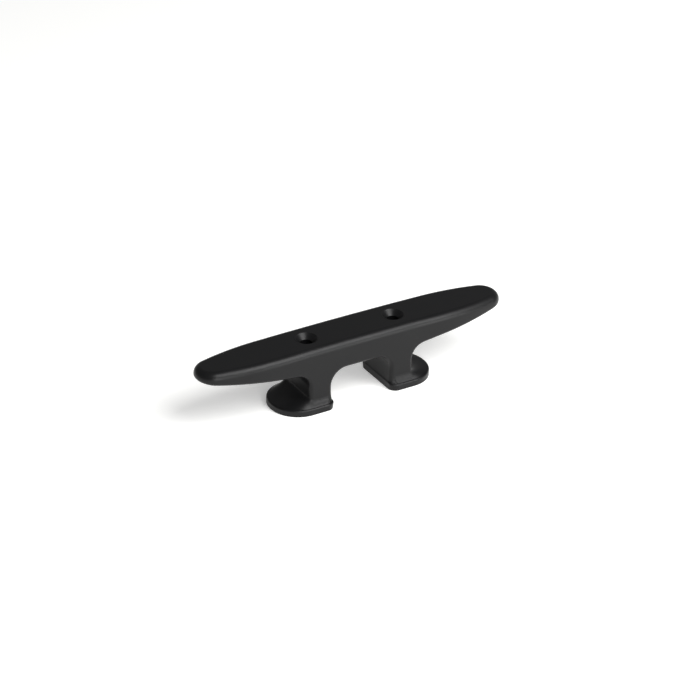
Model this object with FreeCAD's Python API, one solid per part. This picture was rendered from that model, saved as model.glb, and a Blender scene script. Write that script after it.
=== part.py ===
import FreeCAD, Part
import math
import os

os.makedirs("parts", exist_ok=True)
V = FreeCAD.Vector

# The cleat is one moulding: a bar with two horns, carried on two legs that end in
# flared feet. X runs along the bar, Y across it, Z up from the mounting face, and the
# origin is the middle of the footprint.

# Screws
hole_spacing = 43.1
bore_diameter = 5.4
countersink_diameter = 9.8
countersink_angle = 90.0

# Bar and horns
bar_length = 150.0
bar_width = 22.2
bar_height = 30.1
crown_radius = 2500.0
shoulder_radius = 118.0
nose_radius = 8.2
horn_root_height = 17.9
horn_tip_thickness = 4.8
horn_belly = 0.3

# Legs and the arch between them
arch_height = 17.3
arch_radius = 7.4
throat_radius = 6.7
wall_to_arch = 4.1
wall_to_throat = 1.4

# Feet
foot_width = 26.8
foot_thickness = 3.0
foot_heel = 0.7
foot_reach = 13.0
foot_corner_radius = 3.7
foot_end_radius = 13.0
flare_rise = 4.3
flare_sweep = 42.0

# Edge rounding
top_edge_radius = 3.4
low_edge_radius = 1.7
rim_radius = 0.8

# How far a cutting outline runs past the part, and one form runs inside the next
clearance = 5.0
overlap = 0.05

half_length = bar_length / 2
half_width = bar_width / 2
hole_x = hole_spacing / 2
bore_radius = bore_diameter / 2
leg_inner = hole_x - bore_radius - wall_to_arch
leg_outer = hole_x + bore_radius + wall_to_throat
end_radius = min(foot_end_radius, foot_width / 2 - overlap)

# The bar's two roundings meet around the nose, so the tip's thickness limits them. They
# may add up to a little more than it, because the underside slopes.
tip_fill = 1.15
round_fit = min(1, tip_fill * horn_tip_thickness / (top_edge_radius + low_edge_radius))
top_round = top_edge_radius * round_fit
low_round = low_edge_radius * round_fit

# The top is arched lengthwise over the legs, up to where the sides start to draw in,
# and runs on straight from there along each horn, at the slope it has reached.
nose_run = math.sqrt((shoulder_radius - nose_radius) ** 2 - (shoulder_radius - half_width) ** 2)
horn_run = nose_run + nose_radius
horn_slope = math.asin(half_length / math.hypot(crown_radius, horn_run)) - math.atan(horn_run / crown_radius)
horn_start = V(
    crown_radius * math.sin(horn_slope), 0,
    bar_height - crown_radius * (1 - math.cos(horn_slope)))
nose_top = horn_start.z - horn_run * math.sin(horn_slope)


def arc(centre, radius, start, end):
    """A level arc between two bearings, in degrees."""
    bearings = [math.radians(a) for a in (start, (start + end) / 2, end)]
    return Part.Arc(*[centre + V(math.cos(a), math.sin(a), 0) * radius for a in bearings]).toShape()


def middle_block():
    """The stretch over the legs, parallel in plan, under the arched part of the top."""
    cut_foot = horn_start - V(math.tan(horn_slope), 0, 1) * (horn_start.z + clearance)
    left_start = V(-horn_start.x, 0, horn_start.z)
    left_foot = V(-cut_foot.x, 0, cut_foot.z)
    side = Part.Face(Part.Wire([
        Part.Arc(left_start, V(0, 0, bar_height), horn_start).toShape(),
        Part.makeLine(horn_start, cut_foot),
        Part.makeLine(cut_foot, left_foot),
        Part.makeLine(left_foot, left_start),
    ]))
    side.translate(V(0, -half_width, 0))
    return side.extrude(V(0, bar_width, 0))


def horn_block():
    """The +X horn's stretch: a wide arc along each side and a round nose, square to
    the sloping top."""
    turn = math.degrees(math.asin(nose_run / (shoulder_radius - nose_radius)))
    offset = shoulder_radius - half_width
    plan = Part.Face(Part.Wire([
        arc(V(0, offset, 0), shoulder_radius, 270, 270 + turn),
        arc(V(nose_run, 0, 0), nose_radius, 270 + turn, 450 - turn),
        arc(V(0, -offset, 0), shoulder_radius, 90 - turn, 90),
        Part.makeLine(V(0, half_width, 0), V(0, -half_width, 0)),
    ]))
    block = plan.extrude(V(0, 0, -bar_height))
    block.rotate(V(0, 0, 0), V(0, 1, 0), math.degrees(horn_slope))
    block.translate(horn_start)
    return block


def side_outline():
    """Half of the bar's elevation, closed on the middle plane: the arch, the leg, the
    throat and the horn's underside, which bellies down a little and rises to the tip."""
    tip = V(half_length, 0, nose_top - horn_tip_thickness)
    root = V(leg_outer, 0, horn_root_height)
    chord = tip - root
    belly_radius = (chord.Length ** 2 / 4 + horn_belly ** 2) / (2 * horn_belly)
    up = V(-chord.z, 0, chord.x).normalize()
    belly_centre = (tip + root) * 0.5 + up * (belly_radius - horn_belly)

    def underside(x):
        return V(x, 0, belly_centre.z - math.sqrt(belly_radius ** 2 - (x - belly_centre.x) ** 2))

    throat_x = leg_outer + throat_radius
    drop = math.sqrt((belly_radius + throat_radius) ** 2 - (throat_x - belly_centre.x) ** 2)
    throat_centre = V(throat_x, 0, belly_centre.z - drop)
    toward_belly = (belly_centre - throat_centre).normalize()
    meet = throat_centre + toward_belly * throat_radius
    corner = throat_centre + (toward_belly - V(1, 0, 0)).normalize() * throat_radius
    throat_spring = V(leg_outer, 0, throat_centre.z)

    arch_spring = V(leg_inner, 0, arch_height - arch_radius)
    arch_end = V(leg_inner - arch_radius, 0, arch_height)
    arch_corner = V(arch_end.x, 0, arch_spring.z) + V(1, 0, 1).normalize() * arch_radius
    foot_level = foot_thickness / 2
    out = underside(half_length + clearance)
    top = bar_height + clearance
    return Part.Wire([
        Part.makeLine(V(0, 0, top), V(0, 0, arch_height)),
        Part.makeLine(V(0, 0, arch_height), arch_end),
        Part.Arc(arch_end, arch_corner, arch_spring).toShape(),
        Part.makeLine(arch_spring, V(leg_inner, 0, foot_level)),
        Part.makeLine(V(leg_inner, 0, foot_level), V(leg_outer, 0, foot_level)),
        Part.makeLine(V(leg_outer, 0, foot_level), throat_spring),
        Part.Arc(throat_spring, corner, meet).toShape(),
        Part.Arc(meet, underside((meet.x + out.x) / 2), out).toShape(),
        Part.makeLine(out, V(out.x, 0, top)),
        Part.makeLine(V(out.x, 0, top), V(0, 0, top)),
    ])


def sharp_edges(shape, wanted):
    """The edges of a shape where two faces meet at a clear angle, and whose middle
    point passes the given test."""
    clear_angle = math.radians(20)
    found = []
    for edge in shape.Edges:
        faces = shape.ancestorsOfType(edge, Part.Face)
        if len(faces) != 2:
            continue
        middle = edge.valueAt((edge.FirstParameter + edge.LastParameter) / 2)
        normals = [face.normalAt(*face.Surface.parameter(middle)) for face in faces]
        if normals[0].getAngle(normals[1]) > clear_angle and wanted(middle):
            found.append(edge)
    return found


def mirrored(shape):
    """The same shape on the -X side."""
    return shape.mirror(V(0, 0, 0), V(1, 0, 0))


def bar_and_legs():
    """The bar from nose to nose with both legs, and its edges rounded."""
    horn = horn_block()
    block = middle_block().fuse([horn, mirrored(horn)])
    half = Part.Face(side_outline())
    half.translate(V(0, -bar_width, 0))
    right = half.extrude(V(0, 2 * bar_width, 0))
    body = right.fuse(mirrored(right)).removeSplitter().common(block).removeSplitter()

    top_line = nose_top - horn_tip_thickness / 2
    body = body.makeFillet(top_round, sharp_edges(body, lambda p: p.z > top_line))
    low = sharp_edges(body, lambda p: foot_thickness < p.z < top_line)
    return body.makeFillet(low_round, low)


def foot_outline(inset):
    """The foot's level outline: straight across the heel, rounded at the end."""
    heel = leg_inner - foot_heel + inset
    end = leg_outer + foot_reach - inset
    w = foot_width / 2 - inset
    r1 = foot_corner_radius - inset
    r2 = end_radius - inset
    return Part.Wire([
        Part.makeLine(V(heel, w - r1, 0), V(heel, r1 - w, 0)),
        arc(V(heel + r1, r1 - w, 0), r1, 180, 270),
        Part.makeLine(V(heel + r1, -w, 0), V(end - r2, -w, 0)),
        arc(V(end - r2, r2 - w, 0), r2, 270, 360),
        Part.makeLine(V(end, r2 - w, 0), V(end, w - r2, 0)),
        arc(V(end - r2, w - r2, 0), r2, 0, 90),
        Part.makeLine(V(end - r2, w, 0), V(heel + r1, w, 0)),
        arc(V(heel + r1, w - r1, 0), r1, 90, 180),
    ])


def flare_section(spread, z):
    """A level section of the flare, from the middle plane out past the heel. A spread
    of 0 is the leg just inside its skin, and 1 is the inner edge of the foot's rim."""

    def blend(leg, rim):
        return leg + (rim - leg) * spread

    end = blend(leg_outer - overlap, leg_outer + foot_reach - rim_radius)
    w = blend(half_width - overlap, foot_width / 2 - rim_radius)
    r = blend(low_round, end_radius - rim_radius)
    return Part.Wire([
        Part.makeLine(V(0, w, z), V(0, -w, z)),
        Part.makeLine(V(0, -w, z), V(end - r, -w, z)),
        arc(V(end - r, r - w, z), r, 270, 360),
        Part.makeLine(V(end, r - w, z), V(end, w - r, z)),
        arc(V(end - r, w - r, z), r, 0, 90),
        Part.makeLine(V(end - r, w, z), V(0, w, z)),
    ])


def foot():
    """The foot on the +X side: a flat D-shaped flange with a rounded rim, and a hollow
    flare, the first part of an ellipse's quarter in section, that sweeps up from it into
    the leg and ends square at the heel."""
    steps = 6
    sweep = math.radians(flare_sweep)
    sections = []
    for k in range(steps + 1):
        angle = sweep * k / steps
        spread = (1 - math.cos(angle)) / (1 - math.cos(sweep))
        level = foot_thickness + flare_rise * (1 - math.sin(angle) / math.sin(sweep))
        sections.append(flare_section(spread, level))
    flare = Part.makeLoft(sections, True, False)
    flare = flare.common(Part.Face(foot_outline(rim_radius)).extrude(V(0, 0, bar_height)))

    flange = Part.Face(foot_outline(0)).extrude(V(0, 0, foot_thickness))
    rim_line = foot_thickness - rim_radius
    flange = flange.makeFillet(rim_radius, sharp_edges(flange, lambda p: p.z > rim_line))
    return flange.fuse(flare)


def screw_hole(x):
    """The bore, and the countersink that opens at the arched top face. The cone runs to
    its point inside the bore, as a general surface, which meets the arch cleanly."""
    rim = countersink_diameter / 2
    rim_height = bar_height - crown_radius + math.sqrt(crown_radius ** 2 - x ** 2)
    slope = math.tan(math.radians(countersink_angle / 2))
    depth = rim / slope
    bore = Part.makeCylinder(bore_radius, bar_height + 2 * clearance, V(x, 0, -clearance))
    cone = Part.makeCone(0, rim + clearance * slope, depth + clearance, V(x, 0, rim_height - depth))
    return [bore, cone.toNurbs()]


def cleat():
    """The whole moulding with its two screw holes."""
    right_foot = foot()
    body = bar_and_legs().fuse([right_foot, mirrored(right_foot)])
    for tool in screw_hole(hole_x) + screw_hole(-hole_x):
        body = body.cut(tool)
    return body.removeSplitter()


shape = cleat()
print("valid", shape.isValid(), "solids", len(shape.Solids), "faces", len(shape.Faces),
      "volume", round(shape.Volume), "box", shape.optimalBoundingBox())
shape.Solids[0].exportStep("parts/cleat_body.step")
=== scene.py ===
import math
import bpy
from mathutils import Matrix, Vector


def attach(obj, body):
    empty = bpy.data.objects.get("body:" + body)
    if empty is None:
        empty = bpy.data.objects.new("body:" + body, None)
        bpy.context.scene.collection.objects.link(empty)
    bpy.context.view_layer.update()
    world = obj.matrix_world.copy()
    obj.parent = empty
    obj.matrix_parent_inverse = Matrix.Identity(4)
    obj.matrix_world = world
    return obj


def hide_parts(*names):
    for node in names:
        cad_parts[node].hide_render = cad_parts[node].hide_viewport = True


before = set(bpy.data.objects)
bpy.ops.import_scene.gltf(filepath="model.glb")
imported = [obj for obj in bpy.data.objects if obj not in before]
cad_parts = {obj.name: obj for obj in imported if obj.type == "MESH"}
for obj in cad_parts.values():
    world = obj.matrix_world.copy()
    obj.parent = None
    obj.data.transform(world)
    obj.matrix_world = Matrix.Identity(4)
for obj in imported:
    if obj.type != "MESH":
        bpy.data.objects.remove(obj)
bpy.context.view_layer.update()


def deselectAll():
    if bpy.context.object and bpy.context.object.mode != "OBJECT":
        bpy.ops.object.mode_set(mode="OBJECT")
    bpy.ops.object.select_all(action="DESELECT")


def pickOnly(thing):
    deselectAll()
    thing.select_set(True)
    bpy.context.view_layer.objects.active = thing


def linearColour(hexColour):
    # sRGB hex to the linear values that the shaders take
    parts = [int(hexColour[i:i + 2], 16) / 255 for i in (1, 3, 5)]
    return [p / 12.92 if p <= 0.04045 else ((p + 0.055) / 1.055) ** 2.4 for p in parts] + [1.0]


def addNode(tree, kind, settings=None, links=None):
    # settings go on the node or its sockets, links are socket name -> output socket
    node = tree.nodes.new(kind)
    for name, value in (settings or {}).items():
        if name in node.inputs:
            node.inputs[name].default_value = value
        else:
            setattr(node, name, value)
    for name, output in (links or {}).items():
        tree.links.new(output, node.inputs[name])
    return node


def newMaterial(name):
    material = bpy.data.materials.new(name)
    material.use_nodes = True
    material.node_tree.nodes.clear()
    return material, material.node_tree


def bearing(azimuth, elevation):
    # unit vector towards a place, degrees round from the front to the right and degrees up
    a = math.radians(azimuth)
    e = math.radians(elevation)
    return Vector((math.sin(a) * math.cos(e), -math.cos(a) * math.cos(e), math.sin(e)))


# Camera: where the photograph was taken from
viewpoint = {
    "azimuth": -31.86,             # degrees round from the front, to the left
    "elevation": 29.93,
    "roll": 1.51,
    "distance": 1.378,
    "lens": 165.0,                 # mm
    "sensorWidth": 36,             # mm
    "aim": (0.0, 0.0, 0.015),
    "slide": (0.00046, 0.00280),   # right and up in the picture plane
}


def placeCamera():
    turn = math.radians(viewpoint["azimuth"])
    roll = math.radians(viewpoint["roll"])
    back = bearing(viewpoint["azimuth"], viewpoint["elevation"])
    level = Vector((math.cos(turn), math.sin(turn), 0))
    upright = back.cross(level)
    right = level * math.cos(roll) + upright * math.sin(roll)
    up = upright * math.cos(roll) - level * math.sin(roll)
    slideRight, slideUp = viewpoint["slide"]
    place = Vector(viewpoint["aim"]) + back * viewpoint["distance"] + right * slideRight + up * slideUp

    bpy.ops.object.camera_add()
    camera = bpy.context.object
    camera.name = "photoCamera"
    camera.matrix_world = Matrix.Translation(place) @ Matrix((right, up, back)).transposed().to_4x4()
    camera.data.lens = viewpoint["lens"]
    camera.data.sensor_width = viewpoint["sensorWidth"]
    camera.data.dof.use_dof = False
    bpy.context.scene.camera = camera


placeCamera()
print("camera placed")


# Studio: a white table in a dim white room, lit by soft boxes that all face the cleat
studio = {
    "floorSize": 6.0,
    "floorColour": "#fafaf8",
    "floorLift": 0.32,         # light that only the camera and reflections see
    "roomColour": "#ffffff",
    "roomStrength": 0.21,
    "reach": 1.2,              # from the cleat to each box
    "boxes": {
        # degrees round from the front to the right, degrees up, metres wide, watts
        "keyBox": (22, 52, 0.8, 13.2),
        "frontBox": (-10, 12, 0.5, 5.0),
        "rightBox": (45, 40, 0.7, 2.8),
        "lowBox": (30, 10, 0.45, 4.2),
    },
}


def layFloor():
    bpy.ops.mesh.primitive_plane_add(size=studio["floorSize"], location=(0, 0, 0))
    floor = bpy.context.object
    floor.name = "floor"
    material, tree = newMaterial("matt_white_card")   # matt card: no gloss, an even pale tone
    card = addNode(tree, "ShaderNodeBsdfDiffuse", {"Color": linearColour(studio["floorColour"])})
    path = addNode(tree, "ShaderNodeLightPath")
    seen = addNode(tree, "ShaderNodeMath", {"operation": "ADD"})
    tree.links.new(path.outputs["Is Camera Ray"], seen.inputs[0])
    tree.links.new(path.outputs["Is Glossy Ray"], seen.inputs[1])
    either = addNode(tree, "ShaderNodeMath", {"operation": "ADD", "use_clamp": True})
    tree.links.new(seen.outputs[0], either.inputs[0])
    tree.links.new(path.outputs["Is Transmission Ray"], either.inputs[1])
    lift = addNode(tree, "ShaderNodeMath", {"operation": "MULTIPLY"})
    tree.links.new(either.outputs[0], lift.inputs[0])
    lift.inputs[1].default_value = studio["floorLift"]
    glow = addNode(tree, "ShaderNodeEmission", links={"Strength": lift.outputs[0]})
    both = addNode(tree, "ShaderNodeAddShader")
    tree.links.new(card.outputs[0], both.inputs[0])
    tree.links.new(glow.outputs[0], both.inputs[1])
    addNode(tree, "ShaderNodeOutputMaterial", links={"Surface": both.outputs[0]})
    floor.data.materials.append(material)


def lightRoom():
    world = bpy.data.worlds.new("room")
    bpy.context.scene.world = world
    world.use_nodes = True
    background = world.node_tree.nodes["Background"]
    background.inputs["Color"].default_value = linearColour(studio["roomColour"])
    background.inputs["Strength"].default_value = studio["roomStrength"]


def hangSoftBox(name, azimuth, elevation, width, watts):
    place = bearing(azimuth, elevation) * studio["reach"]
    bpy.ops.object.light_add(type="AREA", location=place)
    lamp = bpy.context.object
    lamp.name = name
    lamp.data.shape = "SQUARE"
    lamp.data.size = width
    lamp.data.energy = watts
    lamp.rotation_euler = (-place).to_track_quat("-Z", "Y").to_euler()
    lamp.visible_camera = False


layFloor()
lightRoom()
for boxName, box in studio["boxes"].items():
    hangSoftBox(boxName, *box)
print("studio set")


# Nylon: what the whole cleat is moulded in
nylon = {
    "colour": "#0e0e0f",
    "paleColour": "#131314",
    "roughness": 0.37,
    "roughnessSwing": 0.04,    # either way, from cloud to cloud
    "ior": 1.53,
    "sheen": 0.22,             # a polished skin has 0.5, and the fine grain scatters about half
    "grain": 0.45,             # mm between the pits of the mould's spark-eroded grain
    "grainHeight": 0.012,      # mm
    "grainNoise": {"Detail": 2.0, "Roughness": 0.55},
    "flow": 14.0,              # mm across the faint clouds that the melt's flow leaves
    "flowNoise": {"Detail": 3.0, "Roughness": 0.5},
    "flowRange": (0.3, 0.7),   # the noise's values that span the roughness swing
}


def mouldedNylon():
    # Injection-moulded black nylon 6: a satin skin with a fine even grain from the mould
    material, tree = newMaterial("moulded_black_nylon")
    place = addNode(tree, "ShaderNodeTexCoord")
    grain = addNode(tree, "ShaderNodeTexNoise", {
        "Scale": 1000 / nylon["grain"], **nylon["grainNoise"],
    }, {"Vector": place.outputs["Object"]})
    clouds = addNode(tree, "ShaderNodeTexNoise", {
        "Scale": 1000 / nylon["flow"], **nylon["flowNoise"],
    }, {"Vector": place.outputs["Object"]})
    # of the mix node's sockets, inputs 6 and 7 and output 2 are the ones for colours
    tone = addNode(tree, "ShaderNodeMix", {"data_type": "RGBA"})
    tree.links.new(clouds.outputs["Fac"], tone.inputs["Factor"])
    tone.inputs[6].default_value = linearColour(nylon["colour"])
    tone.inputs[7].default_value = linearColour(nylon["paleColour"])
    satin = addNode(tree, "ShaderNodeMapRange", {
        "From Min": nylon["flowRange"][0],
        "From Max": nylon["flowRange"][1],
        "To Min": nylon["roughness"] - nylon["roughnessSwing"],
        "To Max": nylon["roughness"] + nylon["roughnessSwing"],
    }, {"Value": clouds.outputs["Fac"]})
    pits = addNode(tree, "ShaderNodeBump", {
        "Strength": 1.0, "Distance": nylon["grainHeight"] / 1000,
    }, {"Height": grain.outputs["Fac"]})
    skin = addNode(tree, "ShaderNodeBsdfPrincipled", {
        "IOR": nylon["ior"], "Specular IOR Level": nylon["sheen"],
    }, {
        "Base Color": tone.outputs[2],
        "Roughness": satin.outputs["Result"],
        "Normal": pits.outputs["Normal"],
    })
    addNode(tree, "ShaderNodeOutputMaterial", links={"Surface": skin.outputs[0]})
    return material


# Heels: the leg's inner face runs out to the foot's edge in a hollow curve, and the
# corner of the flare beside it is rounded like the leg's, all in mm
heel = {
    "face": 14.75,             # from the middle to the leg's inner face
    "edge": 14.05,             # from the middle to the foot's inner edge
    "side": 11.1,              # from the middle to the leg's front face
    "rimTop": 3.0,
    "curveTop": 9.4,
    "flareRise": 4.3,
    "flareSpread": 1.5,
    "legCorner": 1.7,          # radius of the leg's corner in plan
    "rimCorner": 2.9,          # the same where the flare meets the rim
    "levels": 16,
    "firstLevel": 0.02,        # of a level's height: the lowest cut is just above the rim
    "columns": 6,
    "firstColumn": 0.5,        # of a column's width: each cut is in its column's middle
    "cutDeeper": 3.0,          # faces this far past the curve are cut too
    "cutHigher": 2.0,
    "steepFace": 0.98,         # faces whose normal is more upright than this aren't cut
    "soleTop": 0.01,           # points below this are the mounting face's
    "fadeDeep": (14.9, 17.5),  # the curve dies out into the leg over this depth
    "fadeWide": (10.6, 13.0),  # and round the foot's corner over this width
}


def easeDown(value, span):
    # 1 before the span, 0 after it, smooth between
    t = min(max((value - span[0]) / (span[1] - span[0]), 0), 1)
    return 1 - t * t * (3 - 2 * t)


def sliceHeels(mesh, axis, place):
    # cuts the faces round the heels where a plane square to the axis meets them
    bpy.ops.object.mode_set(mode="OBJECT")
    for face in mesh.polygons:
        middle = face.center * 1000
        face.select = (
            abs(middle.x) < heel["fadeDeep"][1] + heel["cutDeeper"]
            and heel["rimTop"] < middle.z < heel["curveTop"] + heel["cutHigher"]
            and abs(face.normal.z) < heel["steepFace"])
    bpy.ops.object.mode_set(mode="EDIT")
    normal = [1.0 if k == axis else 0.0 for k in range(3)]
    bpy.ops.mesh.bisect(plane_co=[place * n / 1000 for n in normal], plane_no=normal, use_fill=False)


def roundCorner(x, y, z):
    # pulls a point of the square corner in to the leg's rounding
    swing = math.asin(max(1 - (z - heel["rimTop"]) / heel["flareRise"], 0))
    spread = 1 - math.cos(swing)
    wide = heel["side"] + heel["flareSpread"] * spread
    r = heel["legCorner"] + (heel["rimCorner"] - heel["legCorner"]) * spread
    deepIn = heel["face"] + r - x
    wideOut = y - (wide - r)
    reach = math.hypot(deepIn, wideOut)
    if min(deepIn, wideOut) <= 0 or reach <= r:
        return x, y
    return heel["face"] + r - deepIn * r / reach, wide - r + wideOut * r / reach


def hollowHeels(piece):
    # starts in edit mode and ends in object mode
    rise = heel["curveTop"] - heel["rimTop"]
    for k in range(heel["levels"]):
        sliceHeels(piece.data, 2, heel["rimTop"] + rise * (k + heel["firstLevel"]) / heel["levels"])
    for k in range(heel["columns"]):
        inward = heel["rimCorner"] * (k + heel["firstColumn"]) / heel["columns"]
        for sign in (-1, 1):
            sliceHeels(piece.data, 0, sign * (heel["face"] + inward))
            sliceHeels(piece.data, 1, sign * (heel["side"] + heel["flareSpread"] - inward))
    bpy.ops.object.mode_set(mode="OBJECT")
    for vertex in piece.data.vertices:
        x, y, z = [c * 1000 for c in vertex.co]
        deep = abs(x)
        wide = abs(y)
        if z < heel["soleTop"] or z > heel["curveTop"] or deep > heel["fadeDeep"][1]:
            continue
        if z >= heel["rimTop"]:
            deep, wide = roundCorner(deep, wide, z)
            up = (z - heel["rimTop"]) / rise
            out = (heel["face"] - heel["edge"]) * (1 - math.sqrt(1 - (1 - up) ** 2))
        else:
            out = max(min(heel["face"], deep) - heel["edge"], 0)
        deep -= out * easeDown(deep, heel["fadeDeep"]) * easeDown(wide, heel["fadeWide"])
        vertex.co.x = math.copysign(deep, x) / 1000
        vertex.co.y = math.copysign(wide, y) / 1000


# Moulding: the whole cleat, one piece
moulding = {
    "node": "cleat_body",
    "weldGap": 0.000002,
    "creaseAngle": 24.0,       # degrees: the hole rims and the mounting face stay crisp
    "flatFaceWeight": 80,      # of 100: how far large faces steer the shading of small ones
}


def mouldCleat():
    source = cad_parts[moulding["node"]]
    piece = bpy.data.objects.new("moulding", source.data.copy())
    bpy.context.scene.collection.objects.link(piece)
    pickOnly(piece)
    bpy.ops.object.mode_set(mode="EDIT")
    bpy.ops.mesh.select_all(action="SELECT")
    bpy.ops.mesh.customdata_custom_splitnormals_clear()
    bpy.ops.mesh.remove_doubles(threshold=moulding["weldGap"])
    hollowHeels(piece)
    bpy.ops.object.shade_smooth_by_angle(angle=math.radians(moulding["creaseAngle"]))
    even = piece.modifiers.new("evenShading", "WEIGHTED_NORMAL")
    even.keep_sharp = True
    even.weight = moulding["flatFaceWeight"]
    piece.data.materials.clear()
    piece.data.materials.append(mouldedNylon())
    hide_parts(moulding["node"])
    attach(piece, "root")


mouldCleat()
print("moulding made")

bpy.context.scene.view_settings.view_transform = "Standard"
